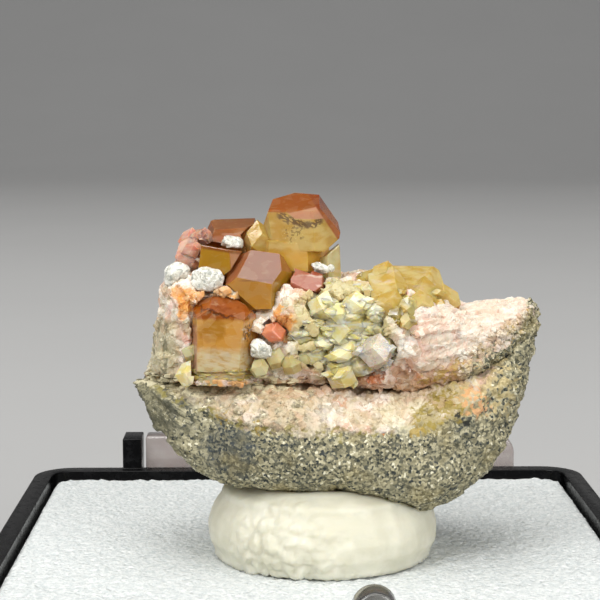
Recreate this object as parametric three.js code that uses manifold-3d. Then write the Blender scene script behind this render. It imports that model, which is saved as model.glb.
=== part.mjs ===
// Tourmaline crystals on a pale vein and a dark granular rock, held by a ball of putty
// on the foam of a small display box. Millimetres, +Z up, the front of the specimen faces -Y.
// The origin is at the bottom of the box, below the middle of its outline.
import * as THREE from "three";
import { ConvexGeometry } from "three/addons/geometries/ConvexGeometry.js";
import { ImprovedNoise } from "three/addons/math/ImprovedNoise.js";
import { mergeVertices } from "three/addons/utils/BufferGeometryUtils.js";
import Module from "manifold-3d";

const wasm = await Module();
wasm.setup();

// Driving dimensions of the box
const BOX_SIDE = 38;
const BOX_HEIGHT = 9;
const BOX_WALL = 1.2;
const BOX_FLOOR = 1.2;
const BOX_CORNER = 2.6;
const FOAM_DROP = 0.45; // how far the foam lies below the rim
const FOAM_TOP = BOX_HEIGHT - FOAM_DROP;
const GAP = 0.25; // between pieces that touch

// The latch on the front wall and the lid's hinge bar on the back wall stand out alike
const REACH = 2;
const LATCH_WIDTH = 2.2;
const LATCH_CENTRE_X = 2.46;
const LATCH_BOTTOM = 5.5;
const LATCH_TOP = FOAM_TOP + 3.4;
const BAR_START_X = -11.5;
const BAR_END_X = 14.7;
const BAR_THICKNESS = 1.6;
const BAR_BOTTOM = BOX_HEIGHT - 0.5;
const BAR_TOP = FOAM_TOP + 2.6;
const LUG_LENGTH = 1.3;
const SHELF_THICKNESS = 1.5;

// Driving dimensions of the putty. Its profile gives [radius, height above the foam].
const PUTTY_CENTRE = [0.45, -1.2];
const PUTTY_PROFILE = [
  [0, 0], [6.3, 0], [6.7, 0.8], [6.75, 1.6], [6.5, 2.5], [5.8, 3.4], [4.6, 4.1], [2.6, 4.6], [0, 4.7],
];
const PUTTY_SIDES = 28;

// The rock and the vein lie along X. Each curve gives [x, height above the foam] or
// [x, depth], and all four meet at both ends.
const ROCK = {
  ends: [-10.4, 13.05],
  top: [[-10.4, 9.95], [-9.4, 10.1], [-7, 10.1], [0, 10.3], [3, 10], [5, 9.9], [6.5, 10.2], [8, 10.7],
    [10, 11.6], [11.5, 12.8], [12.5, 13.9], [13.05, 13.2]],
  bottom: [[-10.4, 9.95], [-9.6, 8.5], [-8.8, 7.1], [-7.6, 5.8], [-6.4, 4.95], [-5.3, 4.5], [-3.8, 4.25],
    [-1.4, 4.15], [1.8, 4.1], [3.9, 3.6], [6.1, 2.85], [7.8, 3.3], [9.5, 4.4], [10.6, 5.9], [11.6, 7.8],
    [12.2, 10.5], [12.7, 12.2], [13.05, 13.2]],
  front: [[-10.4, -1.5], [-9.6, -3.4], [-8, -5.2], [-4, -6.6], [0, -7], [4, -6.9], [7, -6.2], [10, -5],
    [12, -3.9], [12.8, -2.6], [13.05, -0.5]],
  back: [[-10.4, -1.5], [-9.6, 1.6], [-8, 4.4], [-5, 5.6], [-2, 5.9], [3, 6.5], [7, 6], [10, 4.6],
    [12, 3.2], [12.8, 1.6], [13.05, -0.5]],
  roundness: 0.68,
  roughness: 0.32,
  detail: 8,
};
const VEIN = {
  ends: [-9.9, 13],
  top: [[-9.9, 10.7], [-9.5, 12.2], [-9.3, 14.2], [-8.9, 15.4], [-7.9, 16.6], [-6, 17.2], [-4.2, 17.3],
    [-3.2, 17.1], [-2, 16.6], [-1, 16.4], [1.3, 16.2], [2.9, 16.2], [4.2, 16.2], [6.2, 16], [7.4, 15],
    [8.6, 14.2], [10.8, 14.45], [12.7, 14.85], [13, 14.4]],
  bottom: [[-9.9, 10.7], [-9, 9.9], [0, 10], [3, 9.7], [5, 9.6], [6.5, 9.9], [8, 10.4], [10, 11.3],
    [11.5, 12.5], [12.6, 13.6], [13, 14.4]],
  front: [[-9.9, -1.5], [-9.4, -3.4], [-8, -4.2], [-5, -4.5], [-2, -4.5], [1, -4.7], [4, -5], [6, -5],
    [8, -4.7], [10, -4.2], [12, -3.2], [12.8, -2.2], [13, -0.8]],
  back: [[-9.9, -1.5], [-9.4, 1], [-8, 3], [-5, 4.2], [-1, 4.4], [3, 4.6], [7, 4.2], [10, 3],
    [12, 1.8], [12.8, 0.8], [13, -0.8]],
  roundness: 0.7,
  roughness: 0.28,
  detail: 7,
};

// Materials, by slot
const black = new THREE.MeshStandardMaterial({ color: "#1d1f21", roughness: 0.35 });
const clearPlastic = new THREE.MeshStandardMaterial({ color: "#b9b6b2", roughness: 0.1 });
const foamWhite = new THREE.MeshStandardMaterial({ color: "#e6e9e8", roughness: 0.95 });
const cream = new THREE.MeshStandardMaterial({ color: "#dedbca", roughness: 0.6 });
const rockGrey = new THREE.MeshStandardMaterial({ color: "#8d8870", roughness: 0.9 });
const veinPale = new THREE.MeshStandardMaterial({ color: "#e0cbb8", roughness: 0.55 });
const amber = new THREE.MeshStandardMaterial({ color: "#c08a2c", roughness: 0.12 });
const rose = new THREE.MeshStandardMaterial({ color: "#d2897a", roughness: 0.2 });
const lime = new THREE.MeshStandardMaterial({ color: "#d3cc86", roughness: 0.2 });
const milky = new THREE.MeshStandardMaterial({ color: "#e9ebe4", roughness: 0.4 });

// Crystals, with centres [x, y, height above the foam]. A crystal with faces lists each
// as [bearing, tilt, distance from the centre]: bearing 0 looks at the viewer, 90 to the
// right, and tilt is up from level, in degrees. One with a size is a dodecahedron of
// those half widths, turned by [about Z, about X] degrees. One with a lump is a
// rounded grain of that size.
const CRYSTALS = {
  top_crystal: {
    material: amber,
    blocks: [
      {
        centre: [-0.8, -0.6, 19.2],
        faces: [
          [-22, 72, 1.42], [79, 32, 1.74], [-19, -6, 1.5], [46, -2, 1.8], [-92, 20, 2.06], [-70, -8, 2],
          [100, -10, 2.25], [150, 30, 1.7], [-150, 20, 1.8], [0, -80, 1.6], [-80, -42, 1.95], [90, -52, 1.95],
        ],
      },
      {
        centre: [-1.35, -0.7, 17.3],
        faces: [
          [-12, -4, 1.15], [62, 0, 1.45], [-60, 0, 1.6], [-100, 0, 1.6], [180, 0, 1.1], [0, -85, 0.75],
          [0, 85, 1.2],
        ],
      },
      { centre: [-3.25, -0.7, 18.25], size: [0.7, 0.7, 0.95], turn: [-24, 10] },
    ],
  },
  centre_crystal: {
    material: amber,
    blocks: [
      {
        centre: [-3.25, -2.6, 16.2],
        faces: [
          [8, 50, 1.08], [-66, 46, 1.42], [-6, -6, 1.5], [69, 28, 1.62], [62, -6, 1.42], [-95, -5, 1.75],
          [170, 50, 1.5], [180, -20, 1.7], [0, -75, 1.75], [-50, -40, 1.7],
        ],
      },
    ],
  },
  lower_left_crystal: {
    material: amber,
    blocks: [
      {
        centre: [-5.2, -4, 13.3],
        faces: [
          [20, 58, 1.78], [-6, 5, 1.35], [-76, 2, 1.72], [62, -3, 1.6], [-52, 50, 2.05], [80, 45, 2.1],
          [-120, 10, 1.7], [120, 10, 1.7], [180, 0, 1.4], [180, 55, 1.75], [0, -85, 2],
        ],
      },
      {
        centre: [-5.3, -3.8, 11.6],
        faces: [
          [-10, 14, 1.42], [-66, 14, 1.55], [56, 16, 1.4], [180, 0, 1.2], [0, 85, 0.7], [0, -85, 1.1],
        ],
      },
    ],
  },
  amber_crystal: {
    material: amber,
    blocks: [
      {
        centre: [-5.4, -1.9, 16.9],
        faces: [
          [-14, 4, 1.15], [54, 6, 1.25], [110, 80, 1.12], [-88, 8, 1.3], [110, 10, 1.4], [180, 10, 1.3],
          [0, -80, 1.3], [60, 56, 1.5],
        ],
      },
    ],
  },
  back_left_crystal: {
    material: amber,
    blocks: [
      {
        centre: [-4.7, 0.3, 18.3],
        faces: [
          [-10, 78, 0.9], [6, 30, 1.15], [-75, 30, 1.5], [82, 25, 1.45], [180, 20, 1.4], [-130, 0, 1.6],
          [130, 0, 1.6], [0, -80, 1.1],
        ],
      },
    ],
  },
  pink_crystals: {
    material: rose,
    blocks: [
      { centre: [-7.15, -0.6, 18.3], size: [0.6, 0.6, 0.6], turn: [20, 12] },
      { centre: [-6.4, -0.9, 18.3], size: [0.5, 0.6, 0.6], turn: [-14, -8] },
      { centre: [-7.1, -1.2, 17.5], size: [0.85, 0.8, 0.95], turn: [38, 16] },
      { centre: [-7.5, -1, 16.9], size: [0.55, 0.6, 0.6], turn: [5, 30] },
    ],
  },
  pink_plate_crystal: {
    material: rose,
    blocks: [
      {
        centre: [-0.5, -2.4, 16],
        faces: [
          [10, 48, 0.42], [-20, 0, 0.85], [78, 10, 0.95], [-82, 12, 1.0], [150, 40, 0.8], [-160, 0, 0.9],
          [0, -70, 0.6], [60, -30, 0.9],
        ],
      },
    ],
  },
  small_pink_crystal: {
    material: rose,
    blocks: [{ centre: [-2.35, -4.3, 13.45], size: [0.62, 0.6, 0.5], turn: [30, 20] }],
  },
  column_crystal: {
    material: milky,
    blocks: [
      {
        centre: [0.85, -0.8, 17.3],
        faces: [
          [-40, 0, 0.72], [40, 0, 0.6], [-90, 20, 0.8], [92, 3, 0.62], [180, 0, 0.6], [-10, 75, 1.25],
          [-60, 50, 1.2], [0, -85, 1.2],
        ],
      },
    ],
  },
  yellow_cluster: {
    material: lime,
    blocks: [
      {
        centre: [5.4, -1.5, 15.1],
        faces: [
          [5, 72, 1.35], [-60, 52, 1.9], [55, 45, 1.7], [90, 15, 2.2], [-90, 10, 2.2], [-10, 5, 1.5],
          [45, 0, 1.8], [180, 20, 1.5], [0, -80, 1.2],
        ],
      },
      {
        centre: [4.15, -2.9, 15],
        faces: [
          [-8, 6, 1.15], [-30, 55, 1.1], [62, 10, 1.15], [50, 50, 1.3], [-85, 5, 1.15], [110, 10, 1.2],
          [180, 10, 1.2], [0, -70, 1.25],
        ],
      },
      { centre: [6.15, -2.5, 15.1], size: [0.98, 0.9, 1.0], turn: [24, 10] },
      { centre: [7.4, -1.5, 14.8], size: [0.9, 0.9, 0.8], turn: [50, 0] },
      { centre: [3.3, -0.9, 15.7], size: [0.85, 0.8, 0.8], turn: [15, 20] },
    ],
  },
  green_cluster: { material: lime, blocks: [] },
  clear_crystal: {
    material: milky,
    blocks: [{ centre: [3.4, -4.8, 12.4], size: [0.88, 0.78, 0.85], turn: [24, 18] }],
  },
  small_green_crystal: {
    material: lime,
    blocks: [{ centre: [-7.1, -4.6, 11.1], size: [0.62, 0.6, 0.72], turn: [12, 25] }],
  },
  white_lump_left: { material: milky, blocks: [{ centre: [-7.9, -2.2, 16.4], lump: [0.72, 0.8, 0.8] }] },
  white_lump_centre: { material: milky, blocks: [{ centre: [-6.1, -3.5, 16.4], lump: [0.95, 0.7, 0.72] }] },
  white_lump_top: { material: milky, blocks: [{ centre: [-4.8, -1.4, 18.1], lump: [0.8, 0.6, 0.55] }] },
  white_lump_low: { material: milky, blocks: [{ centre: [-3.3, -4.5, 12.6], lump: [0.85, 0.7, 0.55] }] },
  white_lump_neck: { material: milky, blocks: [{ centre: [-0.3, -1.9, 16.8], lump: [1.4, 0.5, 0.32] }] },
};
const LUMP_NOISE = 0.22; // how uneven a rounded grain is, as a share of its size

// The green crystals crowd together on a patch that leans back to the right
const GREEN_CENTRE = [1.7, -3.9, 13.2];
const GREEN_SPREAD = [2.5, 0.7, 2.3];
const GREEN_COUNT = 18;
const GREEN_SIZES = [0.55, 0.95];

const degrees = THREE.MathUtils.degToRad;
const lerp = THREE.MathUtils.lerp;

// A repeatable stream of numbers from 0 to 1
function dice(seed) {
  let state = seed;
  return () => {
    state = (Math.imul(state, 1664525) + 1013904223) >>> 0;
    return state / 4294967296;
  };
}

const greenDice = dice(7);
for (let i = 0; i < GREEN_COUNT; i++) {
  const angle = i * 2.4; // the golden angle spreads them evenly
  const out = Math.sqrt((i + 0.5) / GREEN_COUNT);
  const size = lerp(...GREEN_SIZES, greenDice());
  CRYSTALS.green_cluster.blocks.push({
    centre: [
      GREEN_CENTRE[0] + GREEN_SPREAD[0] * out * Math.cos(angle),
      GREEN_CENTRE[1] + GREEN_SPREAD[1] * (greenDice() - 0.5),
      GREEN_CENTRE[2] + GREEN_SPREAD[2] * out * Math.sin(angle),
    ],
    size: [size, size * 0.9, size * lerp(0.7, 1, greenDice())],
    turn: [greenDice() * 90, greenDice() * 40],
  });
}

// A geometry with shared vertices, holding positions only, without triangles that are lines
function welded(geometry) {
  const bare = geometry.clone();
  bare.deleteAttribute("normal");
  bare.deleteAttribute("uv");
  const merged = mergeVertices(bare, 1e-4);
  const corners = merged.index.array;
  const kept = [];
  for (let i = 0; i < corners.length; i += 3) {
    const [a, b, c] = corners.slice(i, i + 3);
    if (a !== b && b !== c && c !== a) kept.push(a, b, c);
  }
  merged.setIndex(kept);
  return merged;
}

function solidOf(geometry) {
  const bare = welded(geometry);
  return new wasm.Manifold(
    new wasm.Mesh({
      numProp: 3,
      vertProperties: new Float32Array(bare.attributes.position.array),
      triVerts: new Uint32Array(bare.index.array),
    }),
  );
}

function geometryOf(solid) {
  const made = solid.getMesh();
  const geometry = new THREE.BufferGeometry();
  geometry.setAttribute("position", new THREE.BufferAttribute(made.vertProperties, 3));
  geometry.setIndex(new THREE.BufferAttribute(made.triVerts, 1));
  return geometry;
}

// The largest body of a solid, without the crumbs that a cut leaves
function mainBody(solid) {
  return solid.decompose().reduce((best, body) => (body.volume() > best.volume() ? body : best));
}

function joined(solids) {
  return solids.reduce((sum, solid) => sum.add(solid));
}

function named(name, solid, material) {
  const mesh = new THREE.Mesh(geometryOf(solid), material);
  mesh.name = name;
  return mesh;
}

// The value at x of a curve given as [x, value] points
function along(curve, x) {
  for (let i = 1; i < curve.length; i++) {
    const [x0, v0] = curve[i - 1];
    const [x1, v1] = curve[i];
    if (x <= x1) return lerp(v0, v1, THREE.MathUtils.clamp((x - x0) / (x1 - x0), 0, 1));
  }
  return curve[curve.length - 1][1];
}

const noise = new ImprovedNoise();
// Broken-stone unevenness, from about -1 to 1, made of wide humps and finer ones
function uneven(x, y, z) {
  return noise.noise(x * 0.38, y * 0.38, z * 0.38) + 0.5 * noise.noise(x + 7, y, z);
}

const GOLDEN = (1 + Math.sqrt(5)) / 2; // slope of the line to an icosahedron's first corner

// A stone that lies along X, with the four curves of its sides. The ball that it is made
// from is turned so that it has a corner at either tip.
function stone({ ends, top, bottom, front, back, roundness, roughness, detail }, grow = 0) {
  const geometry = welded(new THREE.IcosahedronGeometry(1, detail).rotateZ(-Math.atan(GOLDEN)));
  const points = geometry.attributes.position;
  const blunt = (value) => Math.sign(value) * Math.abs(value) ** roundness;
  for (let i = 0; i < points.count; i++) {
    const place = Math.asin(THREE.MathUtils.clamp(points.getX(i), -1, 1)) / Math.PI + 0.5;
    const x = lerp(...ends, place);
    const around = Math.atan2(points.getZ(i), points.getY(i));
    const depth = blunt(Math.cos(around));
    const height = blunt(Math.sin(around));
    const y = lerp(along(front, x), along(back, x), 0.5 + depth / 2);
    const z = lerp(along(bottom, x), along(top, x), 0.5 + height / 2);
    const fade = Math.min(1, 8 * place, 8 * (1 - place)); // calm at the two tips
    const push = roughness * fade * uneven(x, y, z) + grow;
    const endwise = (place - 0.5) * 2;
    const away = new THREE.Vector3(endwise ** 5, depth, height).normalize();
    points.setXYZ(i, x + away.x * push, y + away.y * push, z + away.z * push);
  }
  return solidOf(geometry);
}

function faceNormal([bearing, tilt]) {
  const b = degrees(bearing);
  const t = degrees(tilt);
  return new THREE.Vector3(Math.sin(b) * Math.cos(t), -Math.cos(b) * Math.cos(t), Math.sin(t));
}

// The corners of the space inside a set of planes
function cornersBetween(planes) {
  const corners = [];
  const cross = (a, b) => new THREE.Vector3().crossVectors(a, b);
  for (let i = 0; i < planes.length; i++)
    for (let j = i + 1; j < planes.length; j++)
      for (let k = j + 1; k < planes.length; k++) {
        const [a, b, c] = [planes[i], planes[j], planes[k]];
        const volume = a.normal.dot(cross(b.normal, c.normal));
        if (Math.abs(volume) < 1e-4) continue;
        const corner = cross(b.normal, c.normal).multiplyScalar(a.reach);
        corner.addScaledVector(cross(c.normal, a.normal), b.reach);
        corner.addScaledVector(cross(a.normal, b.normal), c.reach);
        corner.divideScalar(volume);
        if (planes.every((p) => p.normal.dot(corner) < p.reach + 1e-5)) corners.push(corner);
      }
  return corners;
}

function planesOf(faces, grow) {
  return faces.map((face) => ({ normal: faceNormal(face), reach: face[2] + grow }));
}

// The twelve rhombic faces of a dodecahedron, as [bearing, tilt, distance]
const DODECAHEDRON = [];
for (const quarter of [0, 90, 180, 270]) {
  DODECAHEDRON.push([quarter + 45, 0, 1]);
  DODECAHEDRON.push([quarter, 45, 1]);
  DODECAHEDRON.push([quarter, -45, 1]);
}

function blockSolid({ centre, faces, size, turn, lump }, grow = 0) {
  let geometry;
  if (faces) {
    geometry = new ConvexGeometry(cornersBetween(planesOf(faces, grow)));
  } else if (size) {
    geometry = new ConvexGeometry(cornersBetween(planesOf(DODECAHEDRON, 0)));
    geometry.scale(...size.map((half) => half + grow));
    geometry.rotateX(degrees(turn[1]));
    geometry.rotateZ(degrees(turn[0]));
  } else {
    geometry = welded(new THREE.IcosahedronGeometry(1, 1));
    const points = geometry.attributes.position;
    for (let i = 0; i < points.count; i++) {
      const p = new THREE.Vector3().fromBufferAttribute(points, i);
      const seed = p.clone().multiplyScalar(1.6).add(new THREE.Vector3(centre[0], 0, centre[2]));
      const bump = 1 + LUMP_NOISE * noise.noise(seed.x, seed.y, seed.z);
      points.setXYZ(i, ...lump.map((half, axis) => p.getComponent(axis) * (half * bump + grow)));
    }
  }
  return solidOf(geometry.translate(...centre));
}

const ARC_STEPS = 6; // sides of a quarter circle

// An outline pulled straight out by a depth
function pulled(outline, depth) {
  return new THREE.ExtrudeGeometry(outline, { depth, bevelEnabled: false, curveSegments: ARC_STEPS });
}

// A square with rounded corners, pulled up to a given height
function roundedBlock(side, corner, bottom, height) {
  const half = side / 2;
  const outline = new THREE.Shape();
  outline.moveTo(-half + corner, -half);
  outline.lineTo(half - corner, -half);
  outline.absarc(half - corner, -half + corner, corner, -Math.PI / 2, 0);
  outline.absarc(half - corner, half - corner, corner, 0, Math.PI / 2);
  outline.absarc(-half + corner, half - corner, corner, Math.PI / 2, Math.PI);
  outline.absarc(-half + corner, -half + corner, corner, Math.PI, 1.5 * Math.PI);
  return solidOf(pulled(outline, height).translate(0, 0, bottom));
}

// A plain block between two corners
function slab(low, high) {
  const [x, y, z] = low.map((value, axis) => high[axis] - value);
  const [cx, cy, cz] = low.map((value, axis) => (high[axis] + value) / 2);
  return solidOf(new THREE.BoxGeometry(x, y, z).translate(cx, cy, cz));
}

const BACK_WALL = BOX_SIDE / 2;
const FRONT_WALL = -BOX_SIDE / 2;

// The open tray, with the shelf and the lug behind it that hold the hinge bar
function boxTray() {
  const inner = BOX_SIDE - 2 * BOX_WALL;
  const outside = roundedBlock(BOX_SIDE, BOX_CORNER, 0, BOX_HEIGHT);
  const inside = roundedBlock(inner, BOX_CORNER - BOX_WALL, BOX_FLOOR, BOX_HEIGHT);
  const shelfTop = BAR_BOTTOM - GAP;
  const shelfStart = BAR_START_X - GAP - LUG_LENGTH;
  const insideWall = BACK_WALL - BOX_WALL / 2;
  const shelf = slab(
    [shelfStart, insideWall, shelfTop - SHELF_THICKNESS],
    [BAR_END_X, BACK_WALL + REACH, shelfTop],
  );
  const lug = slab(
    [shelfStart, insideWall, shelfTop - SHELF_THICKNESS],
    [shelfStart + LUG_LENGTH, BACK_WALL + REACH, BAR_TOP],
  );
  return outside.subtract(inside).add(shelf).add(lug);
}

// The clear bar of the lid's hinge, with a round end on the right
function hingeBar() {
  const height = BAR_TOP - BAR_BOTTOM;
  const outline = new THREE.Shape();
  outline.moveTo(BAR_START_X, 0);
  outline.lineTo(BAR_END_X, 0);
  outline.lineTo(BAR_END_X, height / 2);
  outline.absarc(BAR_END_X - height / 2, height / 2, height / 2, 0, Math.PI / 2);
  outline.lineTo(BAR_START_X, height);
  const made = pulled(outline, BAR_THICKNESS).rotateX(Math.PI / 2);
  return solidOf(made.translate(0, BACK_WALL + REACH, BAR_BOTTOM));
}

// The tab in the middle of the front wall, with a round top
function frontLatch() {
  const radius = LATCH_WIDTH / 2;
  const outline = new THREE.Shape();
  outline.moveTo(-radius, LATCH_BOTTOM);
  outline.lineTo(radius, LATCH_BOTTOM);
  outline.absarc(0, LATCH_TOP - radius, radius, 0, Math.PI);
  const made = pulled(outline, REACH - GAP).rotateX(Math.PI / 2);
  return solidOf(made.translate(LATCH_CENTRE_X, FRONT_WALL - GAP, 0));
}

function foamPad() {
  const side = BOX_SIDE - 2 * BOX_WALL - 2 * GAP;
  const bottom = BOX_FLOOR + GAP;
  return roundedBlock(side, BOX_CORNER - BOX_WALL, bottom, FOAM_TOP - bottom);
}

// A ball of putty pressed flat on the foam, with the rock pressed into its top
function puttyBall() {
  const profile = PUTTY_PROFILE.map(([radius, height]) => new THREE.Vector2(radius, height + GAP));
  const made = new THREE.LatheGeometry(profile, PUTTY_SIDES).rotateX(Math.PI / 2);
  return solidOf(made.translate(...PUTTY_CENTRE, 0)).subtract(stone(ROCK, GAP));
}

const specimen = new THREE.Group();
specimen.position.z = FOAM_TOP;
specimen.add(named("putty", mainBody(puttyBall()), cream));
specimen.add(named("matrix_rock", stone(ROCK), rockGrey));

// Each crystal is cut back from the ones before it, and the vein from all of them
let taken = stone(ROCK, GAP);
for (const [name, { material, blocks }] of Object.entries(CRYSTALS)) {
  const whole = joined(blocks.map((block) => blockSolid(block)));
  specimen.add(named(name, mainBody(whole.subtract(taken)), material));
  taken = taken.add(joined(blocks.map((block) => blockSolid(block, GAP))));
}
specimen.add(named("pale_vein", mainBody(stone(VEIN).subtract(taken)), veinPale));

const part = new THREE.Group();
part.add(named("box_tray", boxTray(), black));
part.add(named("hinge_bar", hingeBar(), clearPlastic));
part.add(named("front_latch", frontLatch(), clearPlastic));
part.add(named("foam_pad", foamPad(), foamWhite));
part.add(specimen);

export default part;
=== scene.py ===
# %% [markdown]
# # A gem specimen in its display box
#
# Stubby amber, pink and yellow-green crystals grow from a pale vein on a dark, granular
# rock. A ball of putty holds the rock on the foam of a small black box. The measured solids
# are loaded first, as a fixed frame. Everything after that gives them their fine
# surface: broken rock, sugary grains, sharp crystal edges and see-through colour.

# %% Load the frame
import math
import random

import bmesh
import bpy
from mathutils import Euler, Matrix, Vector, noise


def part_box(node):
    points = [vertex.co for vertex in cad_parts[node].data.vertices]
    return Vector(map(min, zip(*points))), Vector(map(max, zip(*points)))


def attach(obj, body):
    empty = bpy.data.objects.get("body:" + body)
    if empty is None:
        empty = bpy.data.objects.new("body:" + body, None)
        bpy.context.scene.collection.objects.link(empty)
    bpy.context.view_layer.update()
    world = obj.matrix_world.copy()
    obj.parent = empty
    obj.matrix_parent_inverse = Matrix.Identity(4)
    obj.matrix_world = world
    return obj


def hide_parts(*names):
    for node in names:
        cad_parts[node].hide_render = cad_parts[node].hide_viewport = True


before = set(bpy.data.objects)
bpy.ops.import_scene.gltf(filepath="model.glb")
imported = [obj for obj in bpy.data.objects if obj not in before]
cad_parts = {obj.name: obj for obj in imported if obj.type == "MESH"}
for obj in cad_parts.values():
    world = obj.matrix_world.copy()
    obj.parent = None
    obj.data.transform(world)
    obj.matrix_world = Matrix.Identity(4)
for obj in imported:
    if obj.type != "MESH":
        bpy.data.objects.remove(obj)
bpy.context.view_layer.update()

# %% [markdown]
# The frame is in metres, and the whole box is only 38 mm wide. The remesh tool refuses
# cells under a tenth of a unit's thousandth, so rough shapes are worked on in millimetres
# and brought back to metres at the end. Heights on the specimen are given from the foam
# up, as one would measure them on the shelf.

MM = 0.001
FOAM_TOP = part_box("foam_pad")[1].z / MM
print("foam top in mm:", round(FOAM_TOP, 2))


def spot(x, y, height):
    """A place on the specimen in mm, with its height counted from the foam"""
    return Vector((x, y, height + FOAM_TOP))


def smooth(low, high, value):
    """0 below low, 1 above high, and an S-curve between"""
    t = min(1, max(0, (value - low) / (high - low)))
    return t * t * (3 - 2 * t)


# %% [markdown]
# ## Tools for shapes
#
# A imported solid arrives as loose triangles. A copy with its doubles merged can be bevelled
# where it has flat faces, as the box and the crystals have. Broken stone has no flat faces
# to keep, so there the copy is remeshed into small even cells, and each cell's corner is
# then pushed along its normal by a height rule. That is how a sculptor would do it, only
# written down.

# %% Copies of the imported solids
SAME_PLACE = 0.002


def solid_copy(node):
    """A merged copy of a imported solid, in mm"""
    shape = bmesh.new()
    shape.from_mesh(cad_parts[node].data)
    bmesh.ops.scale(shape, vec=Vector((1, 1, 1)) / MM, verts=shape.verts)
    bmesh.ops.remove_doubles(shape, verts=shape.verts, dist=SAME_PLACE)
    return shape


def piece(name, shape, material, nodes=(), shade_smooth=False):
    """Turns a shape in mm into a finished object in metres"""
    bmesh.ops.scale(shape, vec=Vector((MM, MM, MM)), verts=shape.verts)
    mesh = bpy.data.meshes.new(name)
    shape.to_mesh(mesh)
    shape.free()
    mesh.polygons.foreach_set("use_smooth", [shade_smooth] * len(mesh.polygons))
    mesh.materials.append(material)
    made = bpy.data.objects.new(name, mesh)
    bpy.context.scene.collection.objects.link(made)
    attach(made, "root")
    if nodes:
        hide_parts(*nodes)
    print(name, len(mesh.polygons), "faces")


def bevelled(shape, width, sharp=25, segments=2):
    """Rounds the edges that are sharper than an angle in degrees"""
    bmesh.ops.dissolve_limit(
        shape, angle_limit=math.radians(1), verts=shape.verts, edges=shape.edges)
    edges = [
        edge for edge in shape.edges
        if edge.is_manifold and edge.calc_face_angle() > math.radians(sharp)
    ]
    bmesh.ops.bevel(
        shape, geom=edges, offset=width, segments=segments, profile=0.5,
        affect="EDGES", material=-1, clamp_overlap=True)
    return shape


def only(kind, items):
    """The corners or the edges among the things that an operator made"""
    return [item for item in items if isinstance(item, kind)]


def remeshed(shape, cell):
    """The same form in even cells, of a size in mm"""
    mesh = bpy.data.meshes.new("rough")
    shape.to_mesh(mesh)
    shape.free()
    helper = bpy.data.objects.new("rough", mesh)
    bpy.context.scene.collection.objects.link(helper)
    modifier = helper.modifiers.new("Even cells", "REMESH")
    modifier.mode = "VOXEL"
    modifier.voxel_size = cell
    finished = helper.evaluated_get(bpy.context.evaluated_depsgraph_get())
    even = bmesh.new()
    even.from_mesh(finished.to_mesh())
    finished.to_mesh_clear()
    bpy.data.objects.remove(helper)
    bpy.data.meshes.remove(mesh)
    return even


def pushed(shape, height):
    """Moves every corner along its normal, by height(place, normal) in mm"""
    shape.normal_update()
    moves = [(corner, corner.normal * height(corner.co, corner.normal)) for corner in shape.verts]
    for corner, move in moves:
        corner.co += move
    return shape


# %% [markdown]
# Broken crystal is flat between its steps, and it is those tilted little faces that
# glint. Facets gives each cell of a Voronoi pattern a plane of its own, with its own tilt
# and level, so neighbours meet in sharp steps. Cells are rounded grains: high in the
# middle, low in the cracks. Waves are plain fractal unevenness, and hollows are dents at
# listed places.

# %% Height rules
LEAN_KEY = 13.7
STEP_KEY = 7.3
CRACK_SLOPE = 2.2


def facets(place, size, tilt=1.0, step=0.35):
    """Broken faces of a size in mm, about -0.5 to 0.5 high"""
    where = place / size
    middle = noise.voronoi(where)[1][0]
    lean = noise.cell_vector(middle * LEAN_KEY) - Vector((0.5, 0.5, 0.5))
    return (where - middle).dot(lean) * tilt + noise.cell(middle * STEP_KEY) * step


def fractured(place, layers):
    """Broken faces over each other: (depth, size) in mm, perhaps with a tilt and a step"""
    return sum(depth * facets(place, size, *rule) for depth, size, *rule in layers)


def cells(place, size):
    """0 in the cracks between grains, 1 in their middles"""
    near = noise.voronoi(place / size)[0]
    return min(1, (near[1] - near[0]) * CRACK_SLOPE)


def waves(place, size, octaves=3):
    """Unevenness, each octave 0.8 times as high and twice as fine"""
    return noise.fractal(place / size, 0.8, 2.0, octaves)


def hollow(place, spots):
    """How deep a point lies in the nearest of some hollows, each a (place, radius, depth)"""
    return max(
        depth * smooth(radius, 0.4 * radius, (place - middle).length)
        for middle, radius, depth in spots)


# %% [markdown]
# ## Tools for materials
#
# A material is a sum of patterns. Node trees are hard to read in code, so a small class
# wraps a socket and lets patterns be added and multiplied as numbers are. Colours go
# through one mix function, because a Math node would turn them grey.

# %% Shader sums
class Field:
    """A number that changes over the surface"""

    def __init__(self, paint, socket):
        self.paint = paint
        self.socket = socket

    def sum(self, operation, *others):
        inputs = {0: self}
        for place, other in enumerate(others, start=1):
            inputs[place] = other
        return self.paint.node("ShaderNodeMath", {"operation": operation}, inputs)

    def __add__(self, other):
        return self.sum("ADD", other)

    def __mul__(self, other):
        return self.sum("MULTIPLY", other)

    def __sub__(self, other):
        return self.sum("SUBTRACT", other)

    def __rsub__(self, other):
        return self * -1 + other

    __radd__ = __add__
    __rmul__ = __mul__

    def either(self, other):
        return self.sum("MAXIMUM", other)

    def both(self, other):
        return self.sum("MINIMUM", other)

    def size(self):
        return self.sum("ABSOLUTE")

    def between(self, low, high):
        """0 at low, 1 at high, smooth between"""
        made = {"interpolation_type": "SMOOTHSTEP", "clamp": True}
        return self.paint.node(
            "ShaderNodeMapRange", made, {"Value": self, "From Min": low, "From Max": high})


def tint(code):
    """A colour from its web code, made linear"""
    parts = [int(code[i:i + 2], 16) / 255 for i in (1, 3, 5)]
    return tuple(
        part / 12.92 if part <= 0.04045 else ((part + 0.055) / 1.055) ** 2.4 for part in parts
    ) + (1,)


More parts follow.
